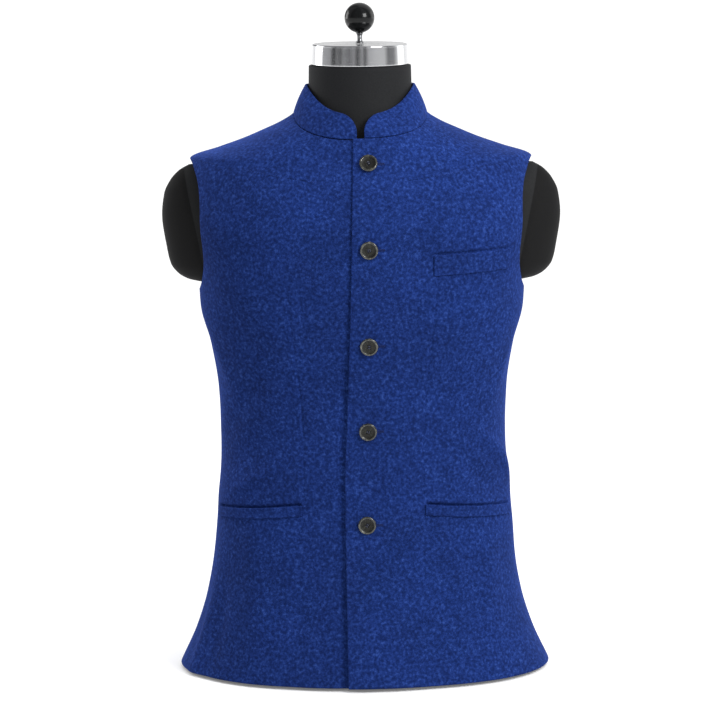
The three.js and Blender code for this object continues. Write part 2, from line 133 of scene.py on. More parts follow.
# It throws less light back than it shows, so that the jacket isn't lit from below.
bounce = node(tree, "ShaderNodeBsdfDiffuse", {}, {"Color": linear("#b0b0b0")})
rays = node(tree, "ShaderNodeLightPath")
shown = node(tree, "ShaderNodeMixShader", {}, {
    "Fac": rays.outputs["Is Diffuse Ray"], 1: shader.outputs[0], 2: bounce.outputs[0],
})
tree.links.new(shown.outputs[0], tree.nodes["Material Output"].inputs["Surface"])
floor_mesh = bpy.data.meshes.new("floor")
corners = [(-1, -1), (1, -1), (1, 1), (-1, 1)]
floor_mesh.from_pydata([(x * FLOOR_HALF, y * FLOOR_HALF, 0) for x, y in corners], [], [(0, 1, 2, 3)])
floor_mesh.materials.append(floor_paint)
add_to_scene("floor", floor_mesh)

world = bpy.data.worlds.new("white_studio")
bpy.context.scene.world = world
world.use_nodes = True
tree = world.node_tree
tree.nodes.clear()
# Seen straight on, the studio is plain white, and it lights the jacket most from the upper
# right. In a reflection it is a room of pale walls between darker doorways and corners,
# whose colours go by the share of a turn round the room.
rays = node(tree, "ShaderNodeLightPath")
place = node(tree, "ShaderNodeTexCoord")
bearing = node(
    tree, "ShaderNodeTexGradient", {"gradient_type": "RADIAL"}, {"Vector": place.outputs["Generated"]}
)
WALLS = [
    (0.0, "#b4b4b6"), (0.04, "#a8a8aa"), (0.055, "#58585a"), (0.075, "#3c3c3e"), (0.09, "#7e7e80"),
    (0.12, "#606062"), (0.14, "#98989a"), (0.18, "#7c7c7f"), (0.21, "#a0a0a2"), (0.235, "#4c4c4e"),
    (0.265, "#a8a8aa"), (0.285, "#5c5c5e"), (0.31, "#c2c2c4"), (0.42, "#d8d8d8"), (0.45, "#7c7c7e"),
    (0.5, "#8e8e90"), (0.54, "#fafafa"), (0.72, "#ffffff"), (0.79, "#d8d8d9"), (0.86, "#5e5e60"),
    (0.92, "#b8b8ba"), (1.0, "#b4b4b6"),
]
walls = ramp(tree, bearing.outputs["Fac"], WALLS)
room = node(tree, "ShaderNodeBackground", {}, {"Color": walls, "Strength": 0.85})
DIM_SIDE, BRIGHT_SIDE = 0.2, 1.35
BRIGHT_FROM = (0.66, -0.15, 0.74)
facing_light = node(tree, "ShaderNodeVectorMath", {"operation": "DOT_PRODUCT"}, {
    0: place.outputs["Generated"], 1: BRIGHT_FROM,
})
strength = node(tree, "ShaderNodeMapRange", {}, {
    "Value": facing_light.outputs["Value"],
    "From Min": -1.0, "From Max": 1.0, "To Min": DIM_SIDE, "To Max": BRIGHT_SIDE,
})
lighting = node(tree, "ShaderNodeBackground", {}, {"Color": (1, 1, 1, 1), "Strength": strength.outputs[0]})
plain = node(tree, "ShaderNodeBackground", {}, {"Color": (1, 1, 1, 1), "Strength": 1.0})
mirrored = node(tree, "ShaderNodeMixShader", {}, {
    "Fac": rays.outputs["Is Glossy Ray"], 1: lighting.outputs[0], 2: room.outputs[0],
})
seen = node(tree, "ShaderNodeMixShader", {}, {
    "Fac": rays.outputs["Is Camera Ray"], 1: mirrored.outputs[0], 2: plain.outputs[0],
})
node(tree, "ShaderNodeOutputWorld", {}, {"Surface": seen.outputs[0]})

# A key lamp to the viewer's upper right, and a rim lamp behind each side.
LAMPS = [
    {"name": "key", "spot": (1.05, -1.15, 1.35), "size": 0.7, "watts": 19},
    {"name": "rim_left", "spot": (-2.0, 1.0, 1.2), "size": 1.2, "watts": 15},
    {"name": "rim_right", "spot": (2.0, 1.0, 1.2), "size": 1.2, "watts": 4},
]
MIDDLE = Vector((0, 0, 0.42))
for lamp in LAMPS:
    data = bpy.data.lights.new(lamp["name"], "AREA")
    data.energy = lamp["watts"]
    data.size = lamp["size"]
    look_at(add_to_scene(lamp["name"], data), Vector(lamp["spot"]), MIDDLE)

# ---------------------------------------------------------------------------
# The two fronts, in wool-blend tweed. Each is cut in one piece with a front dart, and is
# sewn to the back at the side and shoulder. The wearer's left one laps over the right.
MM = 0.001
CLOTH = 2.4
SEAM_GAP = 0.3
LAYER_GAP = 1.2
HEM, UNDERARM, SHOULDER_TIP, NECK_POINT = 4, 482, 643, 697
FRONT_NECK, BACK_NECK = 671, 690
ARMHOLE_FRONT, ARMHOLE_BACK = 60, 58
ARMHOLE_FULLNESS = 0.85
NECKLINE_POWER = {"front": 3.2, "back": 2}
UNDER_EDGE = 28
UNROLL = 150  # a mean radius, for lengths along the cloth
# The outer front rides over the under front, and settles back between these distances past
# the under front's edge.
SETTLE = {"from": 4, "to": 50}
# Creases die out between these heights, where the shoulder seams hold the cloth.
CREASE_END = {"from": 600, "to": 655}
# Half the steps over which a surface's slope is taken, in radians and mm.
TURN_STEP, Z_STEP = 0.002, 0.3

# Sections of the cloth's inner face: reaches to the side, front and back, and roundness.
BODY = [
    {"z": 4, "side": 231, "front": 141, "back": 136, "square": 2.1},
    {"z": 50, "side": 210, "front": 131, "back": 130, "square": 2.15},
    {"z": 95, "side": 196, "front": 124, "back": 125, "square": 2.2},
    {"z": 150, "side": 186, "front": 117, "back": 119, "square": 2.25},
    {"z": 215, "side": 180, "front": 112, "back": 111, "square": 2.3},
    {"z": 297, "side": 175.5, "front": 108, "back": 102, "square": 2.3},
    {"z": 358, "side": 177.5, "front": 111, "back": 101, "square": 2.3},
    {"z": 415, "side": 186, "front": 118, "back": 107, "square": 2.35},
    {"z": 462, "side": 198, "front": 124, "back": 113, "square": 2.4},
    {"z": 510, "side": 201, "front": 128, "back": 118, "square": 2.4},
    {"z": 560, "side": 210, "front": 128, "back": 120, "square": 2.4},
    {"z": 600, "side": 213, "front": 119, "back": 115, "square": 2.25},
    {"z": 627, "side": 213.5, "front": 107, "back": 104, "square": 2.1},
    {"z": 643, "side": 209, "front": 98, "back": 96, "square": 2.0},
    {"z": 655, "side": 175, "front": 92, "back": 89, "square": 2.0},
    {"z": 665.5, "side": 145, "front": 87, "back": 83, "square": 2.0},
    {"z": 676, "side": 120, "front": 81, "back": 77, "square": 2.0},
    {"z": 686, "side": 98, "front": 75, "back": 72, "square": 2.0},
    {"z": 697, "side": 81, "front": 69, "back": 68, "square": 2.0},
    {"z": 710, "side": 72, "front": 66, "back": 66, "square": 2.0},
]
# The outer front's free edge, beyond the centre front on the wearer's right.
OVERLAP_EDGE = [
    {"z": 4, "x": -20}, {"z": 163, "x": -22}, {"z": 235, "x": -22.5},
    {"z": 362, "x": -18}, {"z": 483, "x": -13.5}, {"z": 671, "x": -9},
]
# Broad folds of the hanging cloth, then the softer creases between them. turn is the angle
# round the body, lean tips a fold's length from level, and depth is outward, in mm.
FOLDS = [
    {"turn": 68, "z": 280, "lean": 35, "length": 52, "width": 15, "depth": 4},
    {"turn": 66, "z": 246, "lean": 38, "length": 50, "width": 17, "depth": -4},
    {"turn": -62, "z": 243, "lean": -20, "length": 48, "width": 15, "depth": 4},
    {"turn": -60, "z": 292, "lean": -30, "length": 55, "width": 24, "depth": -4},
    {"turn": 84, "z": 205, "lean": 88, "length": 60, "width": 26, "depth": 3.5},
    {"turn": -62, "z": 440, "lean": 55, "length": 60, "width": 20, "depth": -3},
    {"turn": 64, "z": 446, "lean": -55, "length": 55, "width": 20, "depth": -3},
    {"turn": 128, "z": 300, "lean": 12, "length": 60, "width": 20, "depth": -4},
    {"turn": -124, "z": 316, "lean": -16, "length": 65, "width": 20, "depth": -4},
    {"turn": 117, "z": 452, "lean": 60, "length": 60, "width": 20, "depth": -3},
    {"turn": -119, "z": 446, "lean": -58, "length": 55, "width": 20, "depth": -3},
]
CREASES = [
    {"turn": 71, "z": 290, "lean": 43, "length": 30, "width": 5, "depth": 4.1},
    {"turn": 66, "z": 281, "lean": 47, "length": 34, "width": 6, "depth": -3.4},
    {"turn": 79, "z": 262, "lean": 60, "length": 26, "width": 6, "depth": 2.4},
    {"turn": 54, "z": 262, "lean": 38, "length": 30, "width": 8, "depth": 2.0},
    {"turn": 20, "z": 302, "lean": 80, "length": 16, "width": 3.5, "depth": 1.2},
    {"turn": 23, "z": 301, "lean": 80, "length": 16, "width": 3.5, "depth": -1.2},
    {"turn": -58, "z": 256, "lean": -33, "length": 24, "width": 5, "depth": 3.7},
    {"turn": -55, "z": 245, "lean": -28, "length": 30, "width": 6, "depth": -3.1},
    {"turn": -66, "z": 262, "lean": -20, "length": 26, "width": 7, "depth": 2.0},
    {"turn": -68, "z": 330, "lean": -55, "length": 60, "width": 13, "depth": -2.7},
    {"turn": -74, "z": 400, "lean": 70, "length": 50, "width": 10, "depth": 2.0},
    {"turn": 74, "z": 384, "lean": -72, "length": 55, "width": 10, "depth": 2.0},
    {"turn": -56, "z": 120, "lean": 84, "length": 90, "width": 13, "depth": 3.1},
    {"turn": -76, "z": 50, "lean": 88, "length": 55, "width": 8, "depth": 4.1},
    {"turn": -69, "z": 60, "lean": 88, "length": 60, "width": 8, "depth": -3.1},
    {"turn": -36, "z": 95, "lean": 88, "length": 90, "width": 16, "depth": -2.7},
    {"turn": 42, "z": 100, "lean": -86, "length": 90, "width": 16, "depth": -2.2},
    {"turn": 63, "z": 110, "lean": -84, "length": 80, "width": 13, "depth": 2.7},
    {"turn": 150, "z": 320, "lean": 20, "length": 50, "width": 9, "depth": -3.1},
    {"turn": -148, "z": 336, "lean": -24, "length": 55, "width": 9, "depth": -3.1},
    {"turn": 166, "z": 300, "lean": 6, "length": 45, "width": 8, "depth": 2.5},
    {"turn": 122, "z": 250, "lean": 30, "length": 60, "width": 10, "depth": 2.7},
    {"turn": -126, "z": 262, "lean": -26, "length": 55, "width": 11, "depth": 2.7},
    {"turn": 158, "z": 110, "lean": 87, "length": 90, "width": 16, "depth": -3.1},
    {"turn": -138, "z": 115, "lean": -87, "length": 95, "width": 15, "depth": 3.1},
    {"turn": 132, "z": 105, "lean": 86, "length": 80, "width": 14, "depth": 2.7},
]


def column(table, name, z):
    """A smooth curve through one column of a table, by height, with no overshoot."""
    heights = np.array([row["z"] for row in table], float)
    values = np.array([row[name] for row in table], float)
    slope = np.diff(values) / np.diff(heights)
    product = slope[:-1] * slope[1:]
    total = slope[:-1] + slope[1:]
    middle = np.where(product > 0, 2 * product / np.where(product > 0, total, 1), 0)
    tangent = np.concatenate([slope[:1], middle, slope[-1:]])
    z = np.clip(z, heights[0], heights[-1])
    i = np.clip(np.searchsorted(heights, z, side="right") - 1, 0, len(heights) - 2)
    span = heights[i + 1] - heights[i]
    t = (z - heights[i]) / span
    return (
        values[i] * (1 + 2 * t) * (1 - t) ** 2
        + values[i + 1] * t * t * (3 - 2 * t)
        + span * (tangent[i] * t * (1 - t) ** 2 - tangent[i + 1] * t * t * (1 - t))
    )


def section_reach(table, turn, z):
    """How far a section reaches out from the middle line, towards an angle round the body."""
    n = column(table, "square", z)
    depth = np.where(np.cos(turn) >= 0, column(table, "front", z), column(table, "back", z))
    sideways = np.abs(np.sin(turn)) / column(table, "side", z)
    return (sideways ** n + (np.abs(np.cos(turn)) / depth) ** n) ** (-1 / n)


def fold_depth(folds, turn, z):
    """The sum of the folds' rounded ridges and hollows, outward."""
    out = np.zeros(np.broadcast(turn, z).shape)
    for fold in folds:
        apart = (turn - math.radians(fold["turn"]) + math.pi) % (2 * math.pi) - math.pi
        across = apart * UNROLL
        up = z - fold["z"]
        lean = math.radians(fold["lean"])
        along = across * math.cos(lean) - up * math.sin(lean)
        off = across * math.sin(lean) + up * math.cos(lean)
        out += fold["depth"] * np.exp(-((along / fold["length"]) ** 2) - (off / fold["width"]) ** 2)
    return out


def smooth(start, end, value):
    t = np.clip((value - start) / (end - start), 0, 1)
    return t * t * (3 - 2 * t)


def around(turn, reach, z):
    return np.stack(np.broadcast_arrays(reach * np.sin(turn), -reach * np.cos(turn), z), -1)


def body_point(turn, z):
    creases = fold_depth(CREASES, turn, z) * smooth(CREASE_END["to"], CREASE_END["from"], z)
    return around(turn, section_reach(BODY, turn, z) + fold_depth(FOLDS, turn, z) + creases, z)


def normals(surface, u, v, du, dv):
    across = surface(u + du, v) - surface(u - du, v)
    up = surface(u, v + dv) - surface(u, v - dv)
    normal = np.cross(across, up)
    return normal / np.linalg.norm(normal, axis=-1, keepdims=True)


def body_normals(turn, z):
    return normals(body_point, turn, z, TURN_STEP, Z_STEP)


def body_at(turn, z, out):
    return body_point(turn, z) + body_normals(turn, z) * np.asarray(out)[..., None]


def turn_at_x(x, z):
    """The angle round the body where the front reaches x to the side."""
    n = column(BODY, "square", z)
    share = np.abs(x) / column(BODY, "side", z)
    return np.arctan2(x, column(BODY, "front", z) * (1 - share ** n) ** (1 / n))


def turn_at_y(y, z):
    """The angle round the left side where the body reaches y to the back, or less to the front."""
    n = column(BODY, "square", z)
    depth = np.where(np.asarray(y) < 0, column(BODY, "front", z), column(BODY, "back", z))
    share = np.abs(y) / depth
    return np.arctan2(column(BODY, "side", z) * (1 - share ** n) ** (1 / n), -y)


def neckline(turn):
    """The neck seam's height: lowest at the centre front and highest at the shoulders."""
    side = np.abs(np.sin(turn))
    front = FRONT_NECK + (NECK_POINT - FRONT_NECK) * side ** NECKLINE_POWER["front"]
    back = BACK_NECK + (NECK_POINT - BACK_NECK) * side ** NECKLINE_POWER["back"]
    return np.where(np.cos(turn) >= 0, front, back)


# The stretches of a panel's outer edge end at these shares of its height.
SIDE_SHARE, ARMHOLE_SHARE = 13 / 28, 20 / 28


def outer_edge(reach, t):
    """The (turn, z) line up a panel's side seam, armhole and shoulder seam, for shares t."""
    clear = math.copysign(SEAM_GAP / 2, reach)
    side_z = HEM + (UNDERARM - HEM) * t / SIDE_SHARE
    sweep = math.pi * (1 - np.clip((t - SIDE_SHARE) / (ARMHOLE_SHARE - SIDE_SHARE), 0, 1))
    middle, half = (UNDERARM + SHOULDER_TIP) / 2, (SHOULDER_TIP - UNDERARM) / 2
    along_seam = (t - ARMHOLE_SHARE) / (1 - ARMHOLE_SHARE)
    seam_z = SHOULDER_TIP + (NECK_POINT - SHOULDER_TIP) * along_seam
    z = np.where(t <= SIDE_SHARE, side_z, middle + half * np.cos(sweep))
    z = np.where(t > ARMHOLE_SHARE, seam_z, z)
    return turn_at_y(clear + reach * np.abs(np.sin(sweep)) ** ARMHOLE_FULLNESS, z), z


def middle_height(top, z):
    """The height on a panel's middle line that matches z on its outer edge."""
    return HEM + (top - HEM) * (z - HEM) / (NECK_POINT - HEM)


def fill_outline(bottom, top, left, right, s, t):
    """Fills a four-sided outline of (turn, z) curves with a grid, as a blend of its edges."""
    s, t = s[None, :], t[:, None]
    grid = []
    for axis in (0, 1):
        b, u, l, r = bottom[axis], top[axis], left[axis], right[axis]
        edges = (1 - t) * b[None, :] + t * u[None, :] + (1 - s) * l[:, None] + s * r[:, None]
        lower = (1 - s) * b[0] + s * b[-1]
        upper = (1 - s) * u[0] + s * u[-1]
        grid.append(edges - (1 - t) * lower - t * upper)
    return grid


def fine_steps(count, edge, ends=(True, True), corners=()):
    """Even steps from 0 to 1 and the corners, with closer ones at the rounded ends."""
    close = edge * np.array([0.12, 0.3, 0.6, 1.0])
    low = edge * 1.3 if ends[0] else -1
    high = 1 - edge * 1.3 if ends[1] else 2
    values = [v for v in (*np.linspace(0, 1, count), *corners) if low < v < high]
    values += [0.0, 1.0]
    if ends[0]:
        values += list(close)
    if ends[1]:
        values += list(1 - close)
    return np.unique(np.round(values, 7))


# Each grid has close lines along its rounded edges, this many mm wide.
EDGE_BAND = 1.4
PANEL_HEIGHT, FRONT_WIDTH, BACK_WIDTH = 690, 190, 350
# Shares of a front's height and width with close lines, for the pocket mouths and the dart.
HIP_MOUTH_SHARES = np.linspace(0.195, 0.235, 40)
CHEST_MOUTH_SHARES = np.linspace(0.545, 0.585, 34)
DART_SHARES = np.linspace(0.44, 0.55, 26)


def front_grid(edge_x, columns=90, rows=190):
    """A front's grid of (turn, z), from its free edge, at edge_x by height, to its outer edge."""
    corners = (SIDE_SHARE, ARMHOLE_SHARE, *HIP_MOUTH_SHARES, *CHEST_MOUTH_SHARES)
    s = fine_steps(columns, EDGE_BAND / FRONT_WIDTH, corners=DART_SHARES)
    t = fine_steps(rows, EDGE_BAND / PANEL_HEIGHT, corners=corners)
    right = outer_edge(-ARMHOLE_FRONT, t)
    left_z = middle_height(FRONT_NECK, right[1])
    left = turn_at_x(edge_x(left_z), left_z)
    hem_turn = left[0] + (right[0][0] - left[0]) * s
    neck_turn = left[-1] + (right[0][-1] - left[-1]) * s
    hem = (hem_turn, np.full_like(s, HEM))
    return fill_outline(hem, (neck_turn, neckline(neck_turn)), (left, left_z), right, s, t)


def finish_mesh(mesh, finish):
    """Drops loose points, turns every face outward and gives a mesh its material."""
    cleaner = bmesh.new()
    cleaner.from_mesh(mesh)
    loose = [v for v in cleaner.verts if not v.link_faces]
    bmesh.ops.delete(cleaner, geom=loose, context="VERTS")
    bmesh.ops.recalc_face_normals(cleaner, faces=cleaner.faces)
    cleaner.to_mesh(mesh)
    cleaner.free()
    mesh.materials.append(finish)
    mesh.shade_smooth()


def cloth_shell(name, inner, outer, finish):
    """A wall of cloth between two grids of points, in mm, that share their rim."""
    rows, columns = inner.shape[:2]
    count = rows * columns
    index = np.arange(count).reshape(rows, columns)
    a, b, c, d = index[:-1, :-1], index[:-1, 1:], index[1:, 1:], index[1:, :-1]
    front = np.stack([a, b, c, d], -1).reshape(-1, 4)
    back_index = index + count
    rim = np.zeros((rows, columns), bool)
    rim[[0, -1], :] = True
    rim[:, [0, -1]] = True
    back_index[rim] = index[rim]
    a, b, c, d = back_index[:-1, :-1], back_index[:-1, 1:], back_index[1:, 1:], back_index[1:, :-1]
    back = np.stack([a, d, c, b], -1).reshape(-1, 4)
    points = np.concatenate([outer.reshape(-1, 3), inner.reshape(-1, 3)]) * MM
    mesh = bpy.data.meshes.new(name)
    mesh.from_pydata(points.tolist(), [], np.concatenate([front, back]).tolist())
    finish_mesh(mesh, finish)
    piece = add_to_scene(name, mesh)
    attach(piece, "root")
    return piece


def edge_distance(points):
    """Each grid point's distance along its row and column to the nearest edge, in mm."""
    nearest = []
    for axis in (0, 1):
        length = np.linalg.norm(np.diff(points, axis=axis), axis=-1)
        start = np.insert(np.cumsum(length, axis), 0, 0, axis)
        total = np.take(start, [-1], axis)
        nearest.append(np.minimum(start, total - start))
    return nearest


def rounded_wall(thickness, distance):
    """The inner and outer lift of a wall whose edge is rounded like turned cloth."""
    radius = thickness / 2
    inset = np.clip(radius - distance, 0, radius)
    half = np.sqrt(radius ** 2 - inset ** 2)
    return radius - half, radius + half


def no_lift(turn, z):
    return np.zeros_like(turn)


def overlap_lift(turn, z):
    past = turn * column(BODY, "front", z) - UNDER_EDGE
    return (CLOTH + LAYER_GAP) * (1 - smooth(SETTLE["from"], SETTLE["to"], past))


def panel(name, grid, finish, lift, relief):
    """A panel of cloth over the body, raised by its lift over a layer below and its relief."""
    turn, z = grid
    base = body_point(turn, z)
    normal = body_normals(turn, z)
    low, high = rounded_wall(CLOTH, np.minimum(*edge_distance(base)))
    rise = lift(turn, z) + relief(turn, z)
    inner = base + normal * (rise + low)[..., None]
    outer = base + normal * (rise + high)[..., None]
    return cloth_shell(name, inner, outer, finish)


# Wool-blend tweed: dyed navy and royal blue fibres spun together and lightly milled. It is
# matt, with a soft nap that pales at glancing angles and flecks the width of a yarn or two.
FLECK_SPACING = 3.68
YARN_SPACING = 1.65
tweed, tree, shader = material(
    "milled_wool_tweed", "#233772", Roughness=0.92, IOR=1.5, Specular_IOR_Level=0.1,
    Sheen_Weight=0.32, Sheen_Roughness=0.4, Sheen_Tint=linear("#5f86ff"),
)
spot = node(tree, "ShaderNodeTexCoord").outputs["Object"]
fleck = node(tree, "ShaderNodeTexNoise", {}, {
    "Vector": spot, "Scale": 1 / (FLECK_SPACING * MM), "Detail": 3.0, "Roughness": 0.62,
})
cloud = node(tree, "ShaderNodeTexNoise", {}, {"Vector": spot, "Scale": 18.0, "Detail": 2.0})
flecks = ramp(tree, fleck.outputs["Fac"], [
    (0.30, "#0d1f54"), (0.43, "#122861"), (0.51, "#182f6f"), (0.60, "#1f397e"), (0.72, "#304c95"),
])
clouds = ramp(tree, cloud.outputs["Fac"], [(0.3, "#e6e6e6"), (0.7, "#ffffff")])
blend = node(tree, "ShaderNodeMix", {"data_type": "RGBA", "blend_type": "MULTIPLY"}, {
    "Factor": 1.0, 6: flecks, 7: clouds,
})
tree.links.new(blend.outputs[2], shader.inputs["Base Color"])
stretch = node(tree, "ShaderNodeMapping", {}, {"Vector": spot, "Scale": (1.0, 1.0, 0.7)})
yarn = node(tree, "ShaderNodeTexNoise", {}, {
    "Vector": stretch.outputs[0], "Scale": 1 / (YARN_SPACING * MM), "Detail": 2.0, "Roughness": 0.6,
})
bump = node(tree, "ShaderNodeBump", {}, {
    "Strength": 0.55, "Distance": 0.5 * MM, "Height": yarn.outputs["Fac"],
})
tree.links.new(bump.outputs[0], shader.inputs["Normal"])

# The darts: narrow sewn channels from the chest to the pocket, one in each front.
DART = {
    "turn": 35, "top": 590, "foot": 232, "bend": 0.06, "bend_length": 380,
    "fade_foot": 12, "fade_top": 120, "seam": 0.7, "seam_width": 1.2,
    "puff": 0.35, "puff_off": 5, "puff_width": 4,
}
# The pocket mouths open along the welts' upper edges, whose ends and height are these.
CHEST_WELT = {"from": 35.5, "to": 67, "z": 510, "height": 25, "climb": 3, "mouth": 2.4}
HIP_WELT = {"from": 35.5, "to": 80, "z": 213, "height": 13, "climb": -14, "mouth": 4.2}
MOUTH = {"width": 1.9, "above": 0.6}
# Towards the hem the overlap's free edge stands off the cloth under it, and below the chest
# that cloth sinks a little beside the edge.
KICK = {"depth": 2.4, "high": 200, "low": 10, "from": -12, "to": 30, "radius": 120}
SINK = {"depth": 2.6, "high": 620, "low": 240, "off": 4, "width": 8}


def dart(turn, z, direction):
    """A dart's sewn channel, with the cloth a little fuller on each side of it."""
    top, foot = DART["top"], DART["foot"]
    centre = math.radians(DART["turn"]) + DART["bend"] * np.sin((z - foot) / DART["bend_length"])
    off = (turn * direction - centre) * column(BODY, "front", z)
    held = smooth(foot - 2, foot + DART["fade_foot"], z) * smooth(top, top - DART["fade_top"], z)
    seam = DART["seam"] * np.exp(-((off / DART["seam_width"]) ** 2))
    beside = (np.abs(off) - DART["puff_off"]) / DART["puff_width"]
    return held * (DART["puff"] * np.exp(-(beside ** 2)) - seam)


def mouth(turn, z, welt, direction):
    """The groove where a pocket opens, just above its welt's upper edge."""
    along = (np.degrees(turn) * direction - welt["from"]) / (welt["to"] - welt["from"])
    lip = welt["z"] + welt["height"] + welt["climb"] * along + MOUTH["above"]
    opened = smooth(0, 0.05, along) * smooth(1, 0.95, along)
    return -welt["mouth"] * opened * np.exp(-(((z - lip) / MOUTH["width"]) ** 2))


def left_relief(turn, z):
    """The outer front's dart, its two pocket mouths and its standing free edge."""
    near_edge = 1 - smooth(KICK["from"], KICK["to"], turn * KICK["radius"])
    kick = KICK["depth"] * smooth(KICK["high"], KICK["low"], z) * near_edge
    rise = dart(turn, z, 1) + mouth(turn, z, CHEST_WELT, 1) + mouth(turn, z, HIP_WELT, 1)
    return rise + kick


def right_relief(turn, z):
    """The under front's dart, its pocket mouth and the hollow beside the free edge over it."""
    beside = turn * UNROLL - column(OVERLAP_EDGE, "x", z) * UNROLL / column(BODY, "front", z)
    near_edge = np.exp(-(((beside + SINK["off"]) / SINK["width"]) ** 2))
    sunk = SINK["depth"] * smooth(SINK["high"], SINK["low"], z) * near_edge
    return dart(turn, z, -1) + mouth(turn, z, HIP_WELT, -1) - sunk


def overlap_edge(z):
    """The outer front's free edge, beyond the centre line."""
    return column(OVERLAP_EDGE, "x", z)


def under_edge(z):
    """The under front's free edge, in its own mirrored grid."""
    return np.full_like(z, -UNDER_EDGE, dtype=float)


front_left = panel("wool_front_left", front_grid(overlap_edge), tweed, overlap_lift, left_relief)
turn, z = front_grid(under_edge)
front_right = panel("wool_front_right", (-turn[:, ::-1], z[:, ::-1]), tweed, no_lift, right_relief)
for piece, name in [(front_left, "front_left"), (front_right, "front_right")]:
    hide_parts(name)

# ---------------------------------------------------------------------------
# The back, in the same tweed, cut in one piece and shaped by the side seams. It is sewn to
# the fronts at the sides and the shoulders.
def back_grid(columns=84, rows=200):
    """Half the back from its side to the centre line, then mirrored to the whole."""
    s = fine_steps(columns, EDGE_BAND / BACK_WIDTH, ends=(True, False))
    t = fine_steps(rows, EDGE_BAND / PANEL_HEIGHT, corners=(SIDE_SHARE, ARMHOLE_SHARE))
    left = outer_edge(ARMHOLE_BACK, t)
    hem_turn = left[0][0] + (math.pi - left[0][0]) * s
    neck_turn = left[0][-1] + (math.pi - left[0][-1]) * s
    turn, z = fill_outline(
        (hem_turn, np.full_like(s, HEM)), (neck_turn, neckline(neck_turn)), left,
        (np.full_like(t, math.pi), middle_height(BACK_NECK, left[1])), s, t,
    )
    turn = np.concatenate([turn, 2 * math.pi - turn[:, -2::-1]], 1)
    return turn, np.concatenate([z, z[:, -2::-1]], 1)


back = panel("wool_back", back_grid(), tweed, no_lift, no_lift)
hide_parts("back")

# ---------------------------------------------------------------------------
# The collar: one band of tweed over stiff canvas, with rounded ends that don't quite meet,
# sewn round the neckline and turned in on itself along its upper edge.
COLLAR = {
    "gap": 9.2, "corner": 24, "height": 33, "clear": 0.6, "bow": 1.5,
    "side": 65, "front": 68, "back": 64, "rise_front": 29, "rise_side": 36, "rise_back": 38,
    "length": 470, "crowding": 0.11,
}
SHARE_STEP = 0.01


def collar_point(turn, v):
    """A point on the band's inner face, at share v of the way from its seam to its top."""
    seam = neckline(turn) + COLLAR["clear"]
    foot = body_at(turn, seam, overlap_lift(turn, seam))
    ahead = np.cos(turn) >= 0
    depth = np.where(ahead, COLLAR["front"], COLLAR["back"])
    side = np.sin(turn) ** 2
    rise = np.where(ahead, COLLAR["rise_front"], COLLAR["rise_back"])
    rise = rise + (COLLAR["rise_side"] - rise) * side
    reach = 1 / np.hypot(np.sin(turn) / COLLAR["side"], np.cos(turn) / depth)
    head = around(turn, reach, neckline(turn) + rise)
    v = np.asarray(v)[..., None]
    out = around(turn, np.ones_like(turn), np.zeros_like(turn))
    return foot + (head - foot) * v + out * COLLAR["bow"] * 4 * v * (1 - v)


def collar_grid(columns=300, rows=26):
    """The band's grid of (turn, share of its height), with more columns near its rounded ends."""
    seam_radius = float(-body_point(np.array(0.0), np.array(float(FRONT_NECK)))[1])
    start = COLLAR["gap"] / 2 / seam_radius
    s = fine_steps(columns, EDGE_BAND / COLLAR["length"])
    eased = s - COLLAR["crowding"] * np.sin(2 * math.pi * s)
    turn = start + (2 * math.pi - 2 * start) * eased
    distance = np.minimum(turn - start, 2 * math.pi - start - turn) * seam_radius
    inset = np.clip(COLLAR["corner"] - distance, 0, COLLAR["corner"])
    curve = COLLAR["height"] - COLLAR["corner"] + np.sqrt(COLLAR["corner"] ** 2 - inset ** 2)
    share = curve / COLLAR["height"]
    v = fine_steps(rows, EDGE_BAND / (COLLAR["height"] + 1))
    return np.broadcast_to(turn, (len(v), len(turn))), v[:, None] * share[None, :]


turn, v = collar_grid()
base = collar_point(turn, v)
normal = normals(collar_point, turn, v, TURN_STEP, SHARE_STEP)
low, high = rounded_wall(CLOTH, np.minimum(*edge_distance(base)))
collar = cloth_shell(
    "wool_collar", base + normal * low[..., None], base + normal * high[..., None], tweed
)
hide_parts("collar")

# ---------------------------------------------------------------------------
# Three welts: straight strips of folded tweed, each sewn down along its lower edge and its
# ends, with the pocket's mouth open along the top.
WELT_CLOTH = 2.0
PATCH_GAP = 0.3
WELT_BAND = 1.0
GAPE = 0.9


def welt_piece(name, welt, direction, lift):
    """A strip laid on the front, whose upper edge gapes a little between its ends."""
    u, v = np.meshgrid(fine_steps(70, WELT_BAND / 110), fine_steps(14, WELT_BAND / welt["height"]))
    turn = direction * np.radians(welt["from"] + (welt["to"] - welt["from"]) * u)
    z = welt["z"] + welt["climb"] * u + welt["height"] * v
    if direction < 0:
        turn, z, u, v = turn[:, ::-1], z[:, ::-1], u[:, ::-1], v[:, ::-1]
    base = body_point(turn, z)
    normal = body_normals(turn, z)
    low, high = rounded_wall(WELT_CLOTH, np.minimum(*edge_distance(base)))
    gape = GAPE * v ** 3 * np.sin(math.pi * u)
    out = lift(turn, z) + CLOTH + PATCH_GAP + gape
    inner = base + normal * (out + low)[..., None]
    outer = base + normal * (out + high)[..., None]
    return cloth_shell(name, inner, outer, tweed)


WELTS = [
    {"node": "chest_welt", "welt": CHEST_WELT, "side": "left"},
    {"node": "hip_welt_left", "welt": HIP_WELT, "side": "left"},
    {"node": "hip_welt_right", "welt": HIP_WELT, "side": "right"},
]
for row in WELTS:
    direction, lift = (1, overlap_lift) if row["side"] == "left" else (-1, no_lift)
    piece = welt_piece("wool_" + row["node"], row["welt"], direction, lift)
    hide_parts(row["node"])
    low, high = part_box(row["node"])

